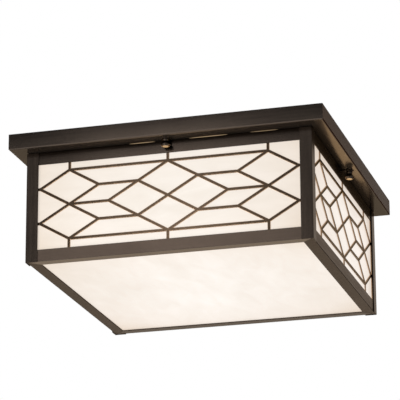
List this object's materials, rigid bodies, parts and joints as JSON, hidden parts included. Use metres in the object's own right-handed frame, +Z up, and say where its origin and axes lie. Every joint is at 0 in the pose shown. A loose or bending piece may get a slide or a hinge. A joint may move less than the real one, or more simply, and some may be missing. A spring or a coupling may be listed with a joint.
{
  "type": "flush mount ceiling light",
  "caption": "Square flush mount ceiling light with a folded pan and a hanging lantern of steel angle, diamond lattice and cream glass, held up by turned knobs.",
  "frame": {"origin": "centre of the pan in the plane of the ceiling, on the upper face of the crossbar", "axes": "+Z up towards the ceiling, +X to the right and +Y to the back as in the picture; the light hangs down along -Z"},
  "size_m": [0.506, 0.506, 0.2058],
  "materials": {
    "bronze": "satin dark bronze paint over steel, faint brush streaks",
    "bronze_knob": "semi-gloss dark bronze over turned metal",
    "art_glass": "translucent cream art glass, softly streaked, lit from inside",
    "zinc_steel": "zinc-plated steel",
    "porcelain": "white glaze",
    "shell_metal": "thin drawn shell, satin",
    "contact_brass": "plain brass",
    "lamp_glass": "frosted white, lit from inside",
    "lamp_shell": "bright rolled shell",
    "hot_insulation": "black insulation",
    "neutral_insulation": "white insulation",
    "bare_copper": "bare copper, lightly dulled",
    "connector_plastic": "orange moulded plastic",
    "nylon": "black nylon"
  },
  "bodies": {
    "root": {"bracket_nuts": "zinc_steel", "bracket_screws": "zinc_steel", "canopy_cap_nuts": "zinc_steel", "canopy_studs": "zinc_steel", "ceiling_pan": "bronze", "crossbar": "zinc_steel", "ground_lead": "bare_copper", "ground_screws": "zinc_steel", "hanging_studs": "zinc_steel", "hot_leads": "hot_insulation", "neutral_leads": "neutral_insulation", "socket_bodies": "porcelain", "socket_brackets": "zinc_steel", "socket_contacts": "contact_brass", "socket_rivets": "zinc_steel", "socket_shells": "shell_metal", "wire_bushing": "nylon", "wire_connectors": "connector_plastic"},
    "lantern": {"bottom_glass": "art_glass", "bottom_rail_back": "bronze", "bottom_rail_front": "bronze", "bottom_rail_left": "bronze", "bottom_rail_right": "bronze", "clip_rivets": "zinc_steel", "corner_post_back_left": "bronze", "corner_post_back_right": "bronze", "corner_post_front_left": "bronze", "corner_post_front_right": "bronze", "glass_clips": "zinc_steel", "hanging_ears": "bronze", "lattice_back": "bronze", "lattice_front": "bronze", "lattice_left": "bronze", "lattice_right": "bronze", "side_glass_back": "art_glass", "side_glass_front": "art_glass", "side_glass_left": "art_glass", "side_glass_right": "art_glass", "top_rail_back": "bronze", "top_rail_front": "bronze", "top_rail_left": "bronze", "top_rail_right": "bronze"},
    "knob_washer_front": {"knob_washer_front": "bronze_knob"},
    "knob_front": {"knob_front": "bronze_knob"},
    "knob_washer_right": {"knob_washer_right": "bronze_knob"},
    "knob_right": {"knob_right": "bronze_knob"},
    "knob_washer_back": {"knob_washer_back": "bronze_knob"},
    "knob_back": {"knob_back": "bronze_knob"},
    "knob_washer_left": {"knob_washer_left": "bronze_knob"},
    "knob_left": {"knob_left": "bronze_knob"},
    "lamp_back_right": {"lamp_base_back_right": "lamp_shell", "lamp_globe_back_right": "lamp_glass"},
    "lamp_back_left": {"lamp_base_back_left": "lamp_shell", "lamp_globe_back_left": "lamp_glass"},
    "lamp_front_left": {"lamp_base_front_left": "lamp_shell", "lamp_globe_front_left": "lamp_glass"},
    "lamp_front_right": {"lamp_base_front_right": "lamp_shell", "lamp_globe_front_right": "lamp_glass"}
  },
  "joints": [
    {"name": "lantern_drop", "type": "slide", "parent": "root", "child": "lantern", "axis": [0, 0, -1], "range_m": [0, 0.22]},
    {"name": "knob_travel_front", "type": "slide", "parent": "lantern", "child": "knob_washer_front", "axis": [0, 0, -1], "range_m": [0, 0.0075]},
    {"name": "knob_turn_front", "type": "hinge", "parent": "knob_washer_front", "child": "knob_front", "pos_m": [0, -0.23825, -0.0342], "axis": [0, 0, -1], "range_deg": [0, 2520]},
    {"name": "knob_travel_right", "type": "slide", "parent": "lantern", "child": "knob_washer_right", "axis": [0, 0, -1], "range_m": [0, 0.0075]},
    {"name": "knob_turn_right", "type": "hinge", "parent": "knob_washer_right", "child": "knob_right", "pos_m": [0.23825, 0, -0.0342], "axis": [0, 0, -1], "range_deg": [0, 2520]},
    {"name": "knob_travel_back", "type": "slide", "parent": "lantern", "child": "knob_washer_back", "axis": [0, 0, -1], "range_m": [0, 0.0075]},
    {"name": "knob_turn_back", "type": "hinge", "parent": "knob_washer_back", "child": "knob_back", "pos_m": [0, 0.23825, -0.0342], "axis": [0, 0, -1], "range_deg": [0, 2520]},
    {"name": "knob_travel_left", "type": "slide", "parent": "lantern", "child": "knob_washer_left", "axis": [0, 0, -1], "range_m": [0, 0.0075]},
    {"name": "knob_turn_left", "type": "hinge", "parent": "knob_washer_left", "child": "knob_left", "pos_m": [-0.23825, 0, -0.0342], "axis": [0, 0, -1], "range_deg": [0, 2520]},
    {"name": "lamp_turn_back_right", "type": "hinge", "parent": "root", "child": "lamp_back_right", "pos_m": [0.06364, 0.06364, -0.072], "axis": [0.7071, 0.7071, 0], "range_deg": [0, 1800]},
    {"name": "lamp_turn_back_left", "type": "hinge", "parent": "root", "child": "lamp_back_left", "pos_m": [-0.06364, 0.06364, -0.072], "axis": [-0.7071, 0.7071, 0], "range_deg": [0, 1800]},
    {"name": "lamp_turn_front_left", "type": "hinge", "parent": "root", "child": "lamp_front_left", "pos_m": [-0.06364, -0.06364, -0.072], "axis": [-0.7071, -0.7071, 0], "range_deg": [0, 1800]},
    {"name": "lamp_turn_front_right", "type": "hinge", "parent": "root", "child": "lamp_front_right", "pos_m": [0.06364, -0.06364, -0.072], "axis": [0.7071, -0.7071, 0], "range_deg": [0, 1800]}
  ],
  "couplings": [
    {"joint": "knob_travel_front", "follows": "knob_turn_front", "m_per_rad": 0.0001687},
    {"joint": "knob_travel_right", "follows": "knob_turn_right", "m_per_rad": 0.0001687},
    {"joint": "knob_travel_back", "follows": "knob_turn_back", "m_per_rad": 0.0001687},
    {"joint": "knob_travel_left", "follows": "knob_turn_left", "m_per_rad": 0.0001687}
  ]
}
